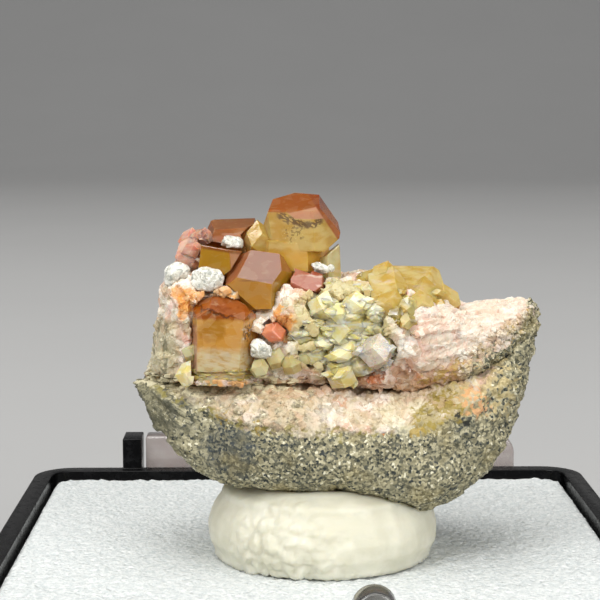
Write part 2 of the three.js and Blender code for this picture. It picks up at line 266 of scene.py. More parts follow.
class Paint:
    """A material and the patterns that it is made of"""

    def __init__(self, name):
        self.material = bpy.data.materials.new(name)
        self.material.use_nodes = True
        self.tree = self.material.node_tree
        self.tree.nodes.clear()
        self.output = self.tree.nodes.new("ShaderNodeOutputMaterial")
        place = self.node("ShaderNodeTexCoord", output="Object")
        scale = {"operation": "SCALE"}
        self.place = self.node("ShaderNodeVectorMath", scale, {0: place, "Scale": 1 / MM})

    def node(self, kind, settings=None, inputs=None, output=0):
        """Adds a node: settings first, then values or links. It gives back one output."""
        made = self.tree.nodes.new(kind)
        for name, value in (settings or {}).items():
            if name == "stops":
                self.set_stops(made.color_ramp, value)
            else:
                setattr(made, name, value)
        for name, value in (inputs or {}).items():
            if isinstance(value, Field):
                self.tree.links.new(value.socket, made.inputs[name])
            else:
                made.inputs[name].default_value = value
        return Field(self, made.outputs[output])

    def set_stops(self, ramp, stops):
        """Fills a ramp with (position, colour) pairs, in steps without a blend"""
        ramp.interpolation = "CONSTANT"
        for _ in stops[2:]:
            ramp.elements.new(0.5)
        for element, (position, colour) in zip(ramp.elements, stops):
            element.position = position
            element.color = colour

    def moved(self, offset=(0, 0, 0), stretch=(1, 1, 1), turn=(0, 0, 0)):
        """The place in mm, shifted, then turned, then stretched"""
        inputs = {
            "Vector": self.place, "Location": offset, "Rotation": turn,
            "Scale": [1 / part for part in stretch]}
        return self.node("ShaderNodeMapping", {"vector_type": "TEXTURE"}, inputs)

    def cloud(self, size, detail=3, **moves):
        """Fractal noise from 0 to 1 with humps of a size in mm, perhaps moved"""
        place = self.moved(**moves) if moves else self.place
        inputs = {"Vector": place, "Scale": 1 / size, "Detail": detail}
        return self.node("ShaderNodeTexNoise", None, inputs)

    def grains(self, size, feature="F1", output="Distance", place=None):
        inputs = {"Vector": place or self.place, "Scale": 1 / size}
        return self.node("ShaderNodeTexVoronoi", {"feature": feature}, inputs, output)

    def axis(self, name):
        return self.node("ShaderNodeSeparateXYZ", None, {0: self.place}, name)

    def height(self):
        return self.axis("Z") - FOAM_TOP

    def random_grain(self, size, channel="Red", place=None):
        """A number of its own for each grain of a size in mm"""
        colour = self.grains(size, output="Color", place=place)
        return self.node("ShaderNodeSeparateColor", None, {0: colour}, channel)

    def facing(self, direction, low, high):
        """1 on faces that look along a direction"""
        normal = self.node("ShaderNodeNewGeometry", output="True Normal")
        inputs = {0: normal, 1: Vector(direction).normalized()}
        look = self.node("ShaderNodeVectorMath", {"operation": "DOT_PRODUCT"}, inputs, "Value")
        return look.between(low, high)

    def beyond(self, place, direction, fade=0.05):
        """1 on the far side of a plane through a place, across a direction"""
        way = Vector(direction).normalized()
        depth = self.along(way) - place.dot(way)
        return depth.between(-fade, fade)

    def distance(self, place, start=None):
        """How far the surface, or another start, is from a place in mm"""
        inputs = {0: start or self.place, 1: place}
        return self.node("ShaderNodeVectorMath", {"operation": "DISTANCE"}, inputs, "Value")

    def along(self, direction):
        inputs = {0: self.place, 1: direction}
        return self.node("ShaderNodeVectorMath", {"operation": "DOT_PRODUCT"}, inputs, "Value")

    def layers(self, colour, *coats):
        """Coats over a colour, one after another: each a mark, a code and an amount"""
        for mark, code, amount in coats:
            colour = self.mix(mark * amount, colour, code)
        return colour

    def stained(self, colour, places, ragged, size, code, amount, within=1):
        """Blots of one colour around places: each an x, a y, a height and a radius"""
        for *place, radius in places:
            mark = self.patch(spot(*place), radius, ragged, size) * within
            colour = self.layers(colour, (mark, code, amount))
        return colour

    def inside(self, gap, radius, ragged, size):
        """1 where a gap in mm is less than a radius, with a ragged edge"""
        edge = radius - gap + (self.cloud(size) - 0.5) * (2 * ragged)
        return edge.between(-0.15 * radius, 0.25 * radius)

    def patch(self, place, radius, ragged=0.6, size=0.5):
        """1 in a ragged blot around a place, 0 outside"""
        return self.inside(self.distance(place), radius, ragged, size)

    def blot(self, x, height, radius, ragged=0.3, size=0.2):
        """A ragged patch on the front view only: it goes through from front to back"""
        flatten = {"operation": "MULTIPLY"}
        flat = self.node("ShaderNodeVectorMath", flatten, {0: self.place, 1: (1, 0, 1)})
        return self.inside(self.distance(spot(x, 0, height), flat), radius, ragged, size)

    def mix(self, factor, *colours):
        """The first colour where factor is 0, the second where it is 1; codes will do"""
        first, second = (tint(each) if isinstance(each, str) else each for each in colours)
        settings = {"data_type": "RGBA", "blend_type": "MIX"}
        return self.node("ShaderNodeMix", settings, {0: factor, 6: first, 7: second}, 2)

    def bump(self, height, depth):
        """A normal for a height from 0 to 1 that stands for a depth in mm"""
        inputs = {"Height": height, "Distance": depth * MM, "Strength": 1.0}
        return self.node("ShaderNodeBump", None, inputs, "Normal")

    def surface(self, **inputs):
        """The finish: plain values and patterns by the names of the shader's sockets"""
        named = {name.replace("_", " "): value for name, value in inputs.items()}
        shader = self.node("ShaderNodeBsdfPrincipled", None, named)
        self.tree.links.new(shader.socket, self.output.inputs["Surface"])
        return self.material

    def depth_colour(self, colour, density):
        """Plain absorption inside a clear body: the deeper the light goes, the more colour"""
        inside = self.node("ShaderNodeVolumeAbsorption", None, {"Color": colour, "Density": density})
        self.tree.links.new(inside.socket, self.output.inputs["Volume"])


# %% [markdown]
# ## The camera
#
# The photograph looks along the specimen from 99 mm in front of it, 7 degrees down and a
# little to the right, through a long lens. Both numbers come from where the edges of the
# foam meet in the picture. Depth of field stays off, so that every crystal is sharp.

# %% Camera
CAMERA_PLACE = spot(-2.3, -99.1, 27.3)
CAMERA_DOWN = 7.208
CAMERA_RIGHT = 0.843
LENS = 102

view = bpy.data.cameras.new("camera")
view.lens = LENS
view.sensor_width = 36
view.clip_start = 5 * MM
view.clip_end = 10
camera = bpy.data.objects.new("camera", view)
camera.location = CAMERA_PLACE * MM
camera.rotation_euler = (math.radians(90 - CAMERA_DOWN), 0, math.radians(-CAMERA_RIGHT))
bpy.context.scene.collection.objects.link(camera)
bpy.context.scene.camera = camera
print("camera at", tuple(round(value, 4) for value in camera.location))

# %% [markdown]
# ## The box, its clear latch and hinge bar
#
# Boxes like this are moulded in hard polystyrene. Moulded edges are never quite sharp, and
# it is the thin line of light on them that makes plastic look real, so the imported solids
# get a small bevel. The black gloss has faint dust and fine scratches in its roughness.

# %% Plastics
def black_plastic():
    paint = Paint("black_plastic")
    dust = paint.cloud(0.6, 5).between(0.45, 0.75)
    scratches = paint.cloud(0.35, 2, stretch=(1, 0.06, 1), turn=(0, 0, 0.5))
    colour = paint.mix(dust * 0.08, "#060607", "#3c3d40")
    gloss = dust * 0.2 + scratches.between(0.6, 0.75) * 0.12 + 0.22
    normal = paint.bump(paint.cloud(2.5, 2), 0.02)
    return paint.surface(
        Base_Color=colour, Roughness=gloss, IOR=1.59, Specular_IOR_Level=0.14, Normal=normal)


def clear_plastic(name, colour_code, dark_code):
    paint = Paint(name)
    haze = paint.cloud(1.4, 3).between(0.4, 0.7)
    colour = paint.mix(haze * 0.5, colour_code, dark_code)
    roughness = haze * 0.12 + 0.06
    return paint.surface(
        Base_Color=colour, Roughness=roughness, IOR=1.49, Transmission_Weight=0.8)


BOX_BEVEL = 0.22
CLEAR_BEVEL = 0.18
piece("tray", bevelled(solid_copy("box_tray"), BOX_BEVEL, sharp=40, segments=3),
      black_plastic(), ["box_tray"], shade_smooth=True)
# The bar's pale pink colours are a painted reflection of the pink specimen in the clear plastic.
piece("lid_bar", bevelled(solid_copy("hinge_bar"), CLEAR_BEVEL, sharp=40),
      clear_plastic("bar_plastic", "#d8cfcb", "#b7a29c"), ["hinge_bar"],
      shade_smooth=True)
piece("latch_tab", bevelled(solid_copy("front_latch"), CLEAR_BEVEL, sharp=40),
      clear_plastic("latch_plastic", "#8e8c88", "#3b3a39"), ["front_latch"],
      shade_smooth=True)

# %% [markdown]
# ## The foam
#
# The white pad is open foam, cut with a knife. Close up, its top is a felt of tiny
# torn cell walls. A remeshed copy is pushed up and down by cells of about half a
# millimetre, and a finer grain is left to the bump, where single fibres would be too small
# to model.

# %% Foam pad
FOAM_CELL = 0.27


def foam_height(place, normal):
    """Torn cells on the top, almost nothing on the sides"""
    top = smooth(0.4, 0.9, normal.z)
    torn = 0.10 * cells(place, 0.7) + 0.07 * waves(place, 0.5)
    return top * (torn - 0.10) - 0.01


def foam_white():
    paint = Paint("foam_white")
    fibre = paint.cloud(0.22, 5)
    holes = paint.grains(0.45).between(0.05, 0.5)
    colour = paint.mix(fibre.between(0.3, 0.65), "#c6cccc", "#e6e8e6")
    colour = paint.mix(holes * 0.25, colour, "#b9c0bf")
    normal = paint.bump(fibre * 0.7 + holes * 0.3, 0.22)
    return paint.surface(
        Base_Color=colour, Roughness=0.9, Subsurface_Weight=0.25, Subsurface_Scale=0.6 * MM,
        Subsurface_Radius=(1.0, 1.0, 1.0), Normal=normal)


piece("foam", pushed(remeshed(solid_copy("foam_pad"), FOAM_CELL), foam_height),
      foam_white(), ["foam_pad"], shade_smooth=True)

# %% [markdown]
# ## The putty
#
# Mineral putty is a soft cream wax that is rolled into a ball and pressed down. The
# pressed side is smooth, and where fingers gathered it, near the foam in front, it keeps
# little crinkled lumps. The gaps that the solids keep to the foam below and to the rock
# above are closed here, because real putty sticks to both.

# %% Putty
PUTTY_CELL = 0.16
CRINKLES = spot(-2.2, -7.6, 0.9)


def putty_height(place, normal):
    """Soft hand-made waves, and lumps low in front"""
    low_front = smooth(4.8, 1.6, (place - CRINKLES).length)
    lumps = 0.2 * cells(place, 0.85) + 0.10 * cells(place, 0.45) - 0.12
    stick = 0.24 * smooth(0.5, 0.9, abs(normal.z))
    return 0.05 * waves(place, 3.0, 2) + low_front * lumps + stick


def putty_cream():
    paint = Paint("putty_cream")
    mottle = paint.cloud(1.6, 4)
    colour = paint.mix(mottle.between(0.35, 0.7), "#d2cfba", "#e0ddca")
    smear = paint.cloud(0.4, 3, stretch=(0.35, 1, 1))
    normal = paint.bump(smear * 0.6 + mottle * 0.4, 0.06)
    return paint.surface(
        Base_Color=colour, Roughness=0.5, Subsurface_Weight=0.35, Subsurface_Scale=1.2 * MM,
        Subsurface_Radius=(1.0, 0.8, 0.5), Normal=normal)


piece("putty_ball", pushed(remeshed(solid_copy("putty"), PUTTY_CELL), putty_height),
      putty_cream(), ["putty"], shade_smooth=True)

# %% [markdown]
# ## The colours of the stone
#
# Two colour schemes cover the rock and the vein. The dark one is salt and pepper: every
# tiny grain takes one of five tones by chance, and slate grey gathers in patches. The
# pale one is a mass of cream, white and pink crystals with tan in its cracks. Both
# pieces use both, because the pale band runs across the rock's front, and grey rock
# shows again at the right end of the vein.

# %% Salt and pepper
PEPPER_GRAIN = 0.14
PEPPER_TONES = (
    (0, "#2c322f"), (0.2, "#605f4d"), (0.42, "#8f896c"), (0.68, "#b7af8e"), (0.9, "#e8e2c6"))
SLATE_HEART = spot(-4.9, -6.3, 7.0)


def salt_and_pepper(paint):
    broad = paint.cloud(1.6, 4)
    fine = paint.cloud(0.5, 4)
    slate = broad * 0.4 + fine * 0.35 + paint.patch(SLATE_HEART, 1.9, 1.2, 0.7) * 0.25
    slate = slate.between(0.5, 0.6)
    chance = paint.random_grain(PEPPER_GRAIN) * 0.8 + fine * 0.45 - slate * 0.18 - 0.1
    stops = [(position, tint(code)) for position, code in PEPPER_TONES]
    warm = paint.cloud(2.3, 3, offset=(31, 5, 12))
    return paint.layers(
        paint.node("ShaderNodeValToRGB", {"stops": stops}, {0: chance}),
        (broad.between(0.5, 0.66), "#5c6055", 0.25),
        (slate, "#4a5256", 0.32),
        (warm.between(0.5, 0.65), "#ad9a5e", 0.28))


# %% Pale crystal mass
def pale_mass(paint):
    broad = paint.cloud(1.3, 3)
    big = paint.random_grain(1.1, "Green", paint.moved((5, 1, 3)))
    block = paint.random_grain(0.5)
    grey = paint.cloud(0.9, 3, offset=(3, 17, 8))
    crack = paint.grains(0.38, "DISTANCE_TO_EDGE")
    rust = paint.cloud(0.55, 4, offset=(9, 2, 21))
    return paint.layers(
        paint.mix(broad.between(0.42, 0.58), "#e0d5bc", "#e1c2b2"),
        (big.between(0.6, 0.68), "#d59f8b", 0.6),
        (big.between(0.34, 0.26), "#f8f3ec", 0.55),
        (block.between(0.62, 0.8), "#f1e8d8", 0.75),
        (block.between(0.28, 0.16), "#b3946e", 0.6),
        (grey.between(0.56, 0.68), "#b5ad8c", 0.7),
        (crack.between(0.09, 0.0), "#b08e66", 0.25),
        (rust.between(0.62, 0.7), "#c99455", 0.45))


# %% [markdown]
# ## The rock
#
# The form comes from the solid. Broken faces of several sizes are pushed into it, so that
# the outline is broken too, and not only the shading. The pale band is coarser than
# the dark stone below it, and the left tip is split in thin leaves.

# %% The shape of the rock
ROCK_CELL = 0.11
BAND_MIDDLE = 0.8
BAND_BOTTOM = 8.1
BAND_RISE = 0.022
DARK_FACES = ((0.22, 1.1), (0.16, 0.45))
BAND_FACES = ((0.3, 1.2, 1.3, 0.2), (0.26, 0.55, 1.3, 0.2), (0.1, 0.28))
ACROSS_LEAVES = Vector((0.42, 0.2, 0.88))


def in_band(place):
    """1 in the pale band, which bends up towards both ends"""
    bottom = BAND_BOTTOM + BAND_RISE * (place.x - BAND_MIDDLE) ** 2
    return smooth(-0.3, 0.3, place.z - FOAM_TOP - bottom + 0.4 * waves(place, 1.2))


def grown_together(place):
    """1 at both ends, where no crevice shows between rock and vein"""
    return max(smooth(6.5, 8.5, place.x), smooth(-0.8, -2.8, place.x))


def rock_height(place, normal):
    """Fine grain below, blocky crystal in the band, leaves at the left tip"""
    band = in_band(place)
    fine = fractured(place, DARK_FACES) + 0.05 * cells(place, 0.2)
    coarse = fractured(place, BAND_FACES)
    leaf = noise.noise(Vector((place.x * 0.3, place.y * 0.3, place.dot(ACROSS_LEAVES) * 2.4)))
    left = smooth(-5.5, -8.0, place.x)
    closing = 0.35 * grown_together(place) * smooth(0.2, 0.6, normal.z)
    return 0.1 * waves(place, 2.2) + fine * (1 - band) + coarse * band + 0.2 * left * leaf + closing


rock_shape = pushed(remeshed(solid_copy("matrix_rock"), ROCK_CELL), rock_height)
print("rock corners:", len(rock_shape.verts))


# %% The two stones of the rock
def dark_stone(paint, leaf, left):
    """Salt and pepper, with pale clouds at the left and dark leaves at its tip"""
    leaves = paint.axis("X").between(-6.4, -7.6) * paint.height().between(7.4, 8.6)
    return paint.layers(
        salt_and_pepper(paint),
        (left * paint.cloud(0.4, 5).between(0.48, 0.6), "#c6be9c", 0.6),
        (leaves * leaf.between(0.43, 0.52), "#3c3d30", 0.85))


def pale_stone(paint, dark, left):
    """The band's crystal mass, with dark stone breaking through towards the left"""
    across = paint.axis("X")
    broken = paint.cloud(0.7, 4, offset=(12, 4, 3)).between(0.45, 0.6) * across.between(4, -2)
    pale = paint.layers(
        pale_mass(paint),
        (paint.cloud(1.5, 3).between(0.38, 0.6), "#bda984", 0.55),
        (across.between(1.5, -1.5), "#b7a582", 0.45))
    return paint.mix(left * 0.6, paint.mix(broken * 0.65, pale, dark), dark)


# %% Stains on the rock
SMALL_OCHRES = ((-5.1, -6.0, 8.9, 0.4), (-3.2, -6.6, 8.5, 0.3), (5.5, -6.2, 8.2, 0.4))
RUST_SPECK = ((3.5, -6.8, 8.0, 0.25),)
BLACK_SPECKS = ((7.8, -5.5, 8.9, 0.28), (8.4, -5.5, 8.45, 0.22))


def rock_stains(paint, colour, above_edge, speckle):
    """Olive along the band's edge, and ochre, golden, orange and black spots"""
    gaps = paint.cloud(0.9, 3, offset=(8, 0, 2)).between(0.48, 0.56)
    edge = (above_edge - 0.05).size().between(0.4, 0.15) * gaps
    olive = paint.patch(spot(7.5, -5.0, 9.6), 1.3, 1.0, 0.4)
    olive = olive.either(paint.patch(spot(6.1, -5.8, 8.8), 0.9, 0.8, 0.4))
    golden = paint.patch(spot(9.6, -3.8, 10.2), 2.0, 1.5, 0.4)
    orange = paint.patch(spot(8.8, -4.9, 9.5), 0.9, 0.9, 0.3)
    colour = paint.layers(
        colour,
        (edge * speckle.between(0.2, 0.5), "#857a30", 0.75),
        (paint.patch(spot(5.0, -5.8, 9.3), 1.5, 0.8, 0.5), "#ddd6b6", 0.5),
        (olive, "#a3925c", 0.7),
        (olive * speckle.between(0.45, 0.6), "#948027", 0.75),
        (golden * paint.random_grain(0.3).between(0.35, 0.6), "#cdb77e", 0.6),
        (orange * speckle.between(0.35, 0.55), "#d9a370", 0.8))
    crumbs = speckle.between(0.2, 0.5)
    colour = paint.stained(colour, SMALL_OCHRES, 0.7, 0.3, "#a98d3a", 0.8, crumbs)
    colour = paint.stained(colour, RUST_SPECK, 0.3, 0.2, "#d07f2e", 0.9)
    return paint.stained(colour, BLACK_SPECKS, 0.25, 0.2, "#1f211b", 0.95)


# %% The finish of the rock
SHELF_RISE = 0.02


def rock_stone():
    paint = Paint("rock_stone")
    height = paint.height()
    across = paint.axis("X")
    bend = (across - BAND_MIDDLE) * (across - BAND_MIDDLE)
    wobble = (paint.cloud(1.0, 4) - 0.5) * 1.7
    above_edge = height - bend * BAND_RISE - BAND_BOTTOM + wobble
    band = above_edge.between(-0.25, 0.3) * (1 - paint.beyond(spot(10, -3, 11.6), (1, 0.2, -0.75), 0.4))
    leaf = paint.cloud(0.45, 4, stretch=(0.25, 0.3, 1.4), turn=(0, 0.5, 0))
    speckle = paint.random_grain(0.22, "Blue")
    left = across.between(-4.8, -6.5)
    dark = dark_stone(paint, leaf, left)
    colour = paint.mix(band, dark, pale_stone(paint, dark, left))
    colour = paint.layers(colour, (across.between(-7.8, -9.0), "#66634b", 0.55))
    colour = rock_stains(paint, colour, above_edge, speckle)
    shelf = height + (paint.cloud(0.6, 4) - 0.5) * 0.9 - bend * SHELF_RISE
    rim = (height + (leaf - 0.5) * 1.6).between(10.0, 10.25) * across.between(0.5, -1.5)
    colour = paint.layers(
        colour,
        (shelf.between(9.85, 10.2) * across.between(8.5, 6), "#b9793c", 0.4),
        (rim * speckle.between(0.15, 0.4), "#dcd3b0", 0.85))
    normal = paint.bump(paint.cloud(0.12, 4) * 0.5 + paint.grains(0.16) * 0.6, 0.06)
    roughness = paint.random_grain(0.2, "Green") * 0.4 + 0.4
    return paint.surface(Base_Color=colour, Roughness=roughness, Normal=normal)


rock_material = rock_stone()
piece("rock", rock_shape, rock_material, ["matrix_rock"], shade_smooth=True)

# %% [markdown]
# ## The pale vein
#
# The vein is a mass of small crystals, cream and pink, with rust in its hollows. It is
# pushed out a little to meet the crystals that root in it, broken into tilted faces, and
# drawn into fibres on the right wing. Where it would bury the lower face of a crystal it
# is hollowed instead.

# %% The shape of the vein
VEIN_CELL = 0.1
BLOCKY_FACES = ((0.4, 1.3, 1.3, 0.15), (0.26, 0.6, 1.3, 0.15), (0.08, 0.3))
BLADED_FACES = ((0.3, 0.9, 1.2, 0.2), (0.2, 0.4, 1.2, 0.2))
VEIN_HOLLOWS = (
    (spot(-3.3, -4.4, 15.2), 1.5, 1.3),
    (spot(-5.0, -4.2, 15.9), 0.9, 0.4),
    (spot(-7.9, -4.2, 13.6), 0.9, 0.3),
    (spot(-1.9, -4.4, 13.9), 0.8, 0.3),
    (spot(4.8, -5.0, 11.0), 1.6, 0.4),
)


def vein_height(place, normal):
    """Tilted faces everywhere, and long blades on the right wing"""
    level = place.z - FOAM_TOP
    right = smooth(5.5, 8.0, place.x)
    blade = Vector((place.x * 0.35, place.y * 1.3, place.z * 1.3 - place.x * 0.2))
    bladed = fractured(blade, BLADED_FACES) + 0.1 * facets(place, 0.25)
    broken = fractured(place, BLOCKY_FACES) * (1 - right) + bladed * right
    slim = 0.3 * smooth(-7.0, -8.0, place.x) * smooth(15.5, 14.5, level)
    underside = smooth(-0.1, -0.5, normal.z)
    if place.x < 0:
        underside *= smooth(12.8, 12.0, level)
    closing = 0.25 * grown_together(place) * underside
    return 0.14 + 0.08 * waves(place, 1.6) + broken - slim + closing


END_X = 10.4
END_HEIGHT = 13.0


def past_end(x, height):
    """How far a place lies past the slanted line where the vein runs out, in mm"""
    return (x - END_X) * 0.5 - (height - END_HEIGHT) * 0.87


vein_shape = pushed(remeshed(solid_copy("pale_vein"), VEIN_CELL), vein_height)
for corner in vein_shape.verts:
    corner.co.y += hollow(corner.co, VEIN_HOLLOWS)
print("vein corners:", len(vein_shape.verts))


# %% The finish of the vein
RUST_PLACES = (
    (-7.3, -4.0, 15.3, 0.7), (-7.5, -4.1, 14.7, 0.6), (-7.8, -3.5, 15.6, 0.5), (-6.4, -4.0, 15.5, 0.5),
    (-2.2, -4.4, 14.8, 0.4), (-1.7, -4.4, 14.1, 0.6), (-1.9, -4.2, 13.2, 0.35), (-3.0, -4.6, 14.6, 0.3),
    (-5.6, -5.2, 10.8, 0.6), (-4.4, -5.3, 10.8, 0.6), (-3.4, -5.0, 10.9, 0.4), (-8.4, -4.0, 10.6, 0.4),
    (-5.3, -4.2, 15.6, 0.7), (-4.3, -4.3, 15.4, 0.6), (-3.4, -4.4, 15.0, 0.4), (-6.6, -3.4, 15.6, 0.4),
)
OCHRE_PLACES = (
    (11.2, -3.5, 13.3, 0.7), (12.1, -2.8, 14.0, 0.6), (9.3, -4.0, 12.2, 0.5), (8.9, -4.0, 11.4, 0.7),
    (6.2, -4.4, 10.9, 0.5), (7.1, -4.5, 11.1, 0.6), (8.0, -4.5, 11.5, 0.6),
)


def vein_mineral():
    paint = Paint("vein_mineral")
    height = paint.height()
    across = paint.axis("X")
    fibre = paint.cloud(0.5, 4, stretch=(0.3, 1, 1.2), turn=(0, -0.18, 0))
    column = paint.cloud(0.35, 4, stretch=(1, 1, 0.35))
    wing = across.between(5, 7.5)
    left = across.between(-7.3, -8.3) * height.between(14.5, 13.8)
    greenish = paint.patch(spot(1.5, -4.0, 13.7), 3.2, 0.9)
    greenish = greenish.either(paint.patch(spot(1.6, -3.4, 15.5), 1.3, 0.7))
    colour = paint.layers(
        pale_mass(paint),
        (wing, "#d9cab6", 0.8),
        (fibre.between(0.5, 0.66) * (wing * 0.6 + 0.25), "#ece3d8", 0.65),
        (wing * column.between(0.5, 0.58), "#dfb09c", 0.36),
        (left, "#b3aa86", 0.7),
        (left * column.between(0.5, 0.62), "#6f6c52", 0.7),
        (greenish, "#bcb174", 0.75))
    colour = paint.stained(colour, RUST_PLACES, 0.45, 0.35, "#e0962c", 0.7)
    shade = height - across.between(3, 10) * 1.6 + (paint.cloud(0.6, 4) - 0.5) * 1.3
    stain = paint.random_grain(0.35, "Blue") * 0.5 + 0.35
    colour = paint.layers(
        colour,
        (shade.between(11.1, 10.3) * stain, "#ad7440", 0.9),
        (paint.patch(spot(2.0, -4.7, 11.6), 1.5, 0.6) * stain, "#b27c60", 0.8),
        (paint.patch(spot(3.1, -4.9, 11.2), 0.8, 0.5, 0.3), "#a8581c", 0.85),
        (paint.patch(spot(5.4, -4.9, 10.9), 0.5, 0.5, 0.3), "#b0682a", 0.8),
        (paint.patch(spot(5.2, -4.8, 11.4), 0.8, 0.6) * stain, "#b98a6c", 0.7))
    crumbs = paint.random_grain(0.2, "Blue").between(0.25, 0.5)
    colour = paint.stained(colour, OCHRE_PLACES, 0.6, 0.35, "#ad8d30", 0.75, crumbs)
    past = past_end(across, height)
    end = (past + (paint.cloud(0.5, 4) - 0.5) * 1.4).between(-0.1, 0.25)
    bare = 1 - fibre.between(0.52, 0.6) * past.between(1.2, 0.4) * 0.8
    colour = paint.mix(end * bare * across.between(7.5, 9), colour, salt_and_pepper(paint))
    normal = paint.bump(paint.cloud(0.16, 5) * 0.5 + paint.random_grain(0.22) * 0.4, 0.05)
    roughness = paint.random_grain(0.3, "Green") * 0.4 + 0.22
    return paint.surface(
        Base_Color=colour, Roughness=roughness, Subsurface_Weight=0.5, Subsurface_Scale=0.5 * MM,
        Subsurface_Radius=(1.0, 0.8, 0.65), Normal=normal)


vein_material = vein_mineral()

# %% [markdown]
# ## Grains that crust the stone
#
# Many little crystals sit on the vein and on the rock's pale band. Some are dodecahedra:
# a cube whose six faces are poked out into roofs, until two roofs next to each other lie
# flat. The others are cubes with cut edges. Seeded dice set copies on corners of the
# finished stone, turned and stretched at random, and the copies are joined in one mesh.

# %% Two kinds of grain
def dodecahedron():
    """Twelve rhombic faces, 1 mm across"""
    shape = bmesh.new()
    bmesh.ops.create_cube(shape, size=0.5)
    bmesh.ops.poke(
        shape, faces=shape.faces, offset=0.25, center_mode="MEAN", use_relative_offset=False)
    bmesh.ops.dissolve_limit(
        shape, angle_limit=math.radians(1), verts=shape.verts, edges=shape.edges)
    print("grain faces:", len(shape.faces))
    return shape


def block():
    """A cube with cut edges, 1 mm across"""
    shape = bmesh.new()
    bmesh.ops.create_cube(shape, size=0.8)
    bmesh.ops.bevel(
        shape, geom=shape.edges, offset=0.14, segments=1, profile=0.5, affect="EDGES", material=-1)
    return shape


def template(shape, name):
    """A shape kept as a mesh, to be copied many times"""
    mesh = bpy.data.meshes.new(name)
    shape.to_mesh(mesh)
    shape.free()
    return mesh


GRAIN = template(dodecahedron(), "grain")
BLOCK = template(block(), "block")


# %% Strewing grains
def add_copy(target, mesh, matrix):
    """Adds a placed copy of a mesh to a shape"""
    before = len(target.verts)
    target.from_mesh(mesh)
    target.verts.ensure_lookup_table()
    bmesh.ops.transform(target, matrix=matrix, verts=target.verts[before:])


ANY_WAY = 3.14


def strewn(host, count, sizes, seed, where, sink=0.15, flat=1.0, tumble=ANY_WAY, meshes=(GRAIN, BLOCK)):
    """Grains on a host's corners where a rule allows it; flat squashes them, tumble turns them"""
    dice = random.Random(seed)
    places = [
        (corner.co.copy(), corner.normal.copy()) for corner in host.verts
        if where(corner.co, corner.normal)
    ]
    made = bmesh.new()
    for _ in range(count):
        place, normal = dice.choice(places)
        size = dice.uniform(*sizes)
        wide = size * dice.uniform(0.7, 1.3)
        deep = size * dice.uniform(0.7, 1.1)
        tall = size * flat * dice.uniform(0.7, 1.1)
        axis = Vector((dice.uniform(-1, 1), dice.uniform(-1, 1), dice.uniform(-1, 1)))
        turn = Matrix.Rotation(dice.uniform(-tumble, tumble), 4, axis)
        move = Matrix.Translation(place - normal * (size * sink))
        add_copy(made, dice.choice(meshes), move @ turn @ Matrix.Diagonal((wide, deep, tall, 1)))
    return made


# %% Where grains may sit
GREEN_MIDDLE = spot(1.7, -4.4, 13.2)


def on_vein(place, normal):
    """The vein's front, top and ends, but not the green patch or the grey end"""
    shows = normal.y < 0.5 and place.z > FOAM_TOP + 10.6
    clear = (place - GREEN_MIDDLE).length > 1.9 and past_end(place.x, place.z - FOAM_TOP) < -0.2
    return shows and clear


def on_wing(place, normal):
    return on_vein(place, normal) and place.x > 5


def on_ledge(place, normal):
    """The left half of the seam between vein and rock"""
    level = place.z - FOAM_TOP
    return place.x < -0.5 and 9.9 < level < 10.8 and normal.y < -0.1


def on_end_line(place, normal):
    """The line where the vein runs out into grey rock, at the right"""
    near = -0.5 < past_end(place.x, place.z - FOAM_TOP) < 0.5
    return near and normal.y < 0.3 and place.x > 8


def on_foot(place, normal):
    return place.z < FOAM_TOP + 10.9 and normal.y < -0.2


def on_ribs(place, normal):
    """The step in the lower left crystal's foot"""
    return 11.0 < place.z - FOAM_TOP < 11.5 and normal.y < -0.3


def near_green(place, normal):
    return normal.y < 0.2 and (place - spot(1.5, -3.8, 14.2)).length < 2.5


def near_yellow(place, normal):
    return normal.y < 0.1 and (place - spot(4.6, -4.2, 14.9)).length < 1.3


def on_band(place, normal):
    pale = in_band(place) > 0.6 and -6 < place.x < 8
    return pale and normal.y < -0.1


# %% The crusts
FOOT_CELL = 0.25
vein_shape.normal_update()
fine_crust = strewn(vein_shape, 420, (0.25, 0.75), 3, on_vein, sink=0.45)
blades = strewn(vein_shape, 200, (0.3, 0.75), 8, on_wing, sink=0.4, flat=0.35, tumble=0.5)
green_edge = strewn(
    vein_shape, 55, (0.6, 1.4), 12, near_green, sink=0.35, flat=0.45, tumble=0.8, meshes=(GRAIN,))
yellow_front = strewn(vein_shape, 12, (0.9, 1.6), 21, near_yellow, sink=0.2, meshes=(GRAIN,))
ledge = strewn(vein_shape, 260, (0.35, 1.0), 16, on_ledge, sink=0.1, flat=0.3, tumble=0.3)
end_grains = strewn(vein_shape, 320, (0.15, 0.4), 17, on_end_line, sink=0.2)
piece("vein", vein_shape, vein_material, ["pale_vein"])
piece("vein_crust", fine_crust, vein_material)
piece("wing_blades", blades, vein_material)
foot = remeshed(solid_copy("lower_left_crystal"), FOOT_CELL)
foot.normal_update()
piece("foot_crust", strewn(foot, 70, (0.3, 0.8), 19, on_foot, sink=0.2, flat=0.6, tumble=0.6),
      vein_material)
foot_ribs = strewn(foot, 60, (0.6, 1.3), 23, on_ribs, sink=0.3, flat=0.4, tumble=0.25, meshes=(GRAIN,))
foot.free()
piece("ledge_blades", ledge, rock_material)
piece("end_grains", end_grains, rock_material)
rock_again = pushed(remeshed(solid_copy("matrix_rock"), ROCK_CELL * 2), rock_height)
rock_again.normal_update()
piece("band_crust", strewn(rock_again, 520, (0.25, 0.85), 4, on_band, sink=0.3),
      rock_material)
rock_again.free()

# %% [markdown]
# ## The gem crystals
#
# The gems are clear, so they are made as real glass is: one closed body with
# transmission, the refractive index of the mineral and a plain absorption that deepens
# the colour with thickness. They grew yellow first and brown-orange last, so each has its
# own colour zones, laid along its faces. On faces that look up, the colour is partly a
# painted reflection of the light overhead, and painted glints, light and dark, sit in
# every gem. Faces stay flat, and only the edges get a hair of a bevel that catches the light.

# %% Gem material
GEM_INDEX = 1.63
GEM_BEVEL = 0.07


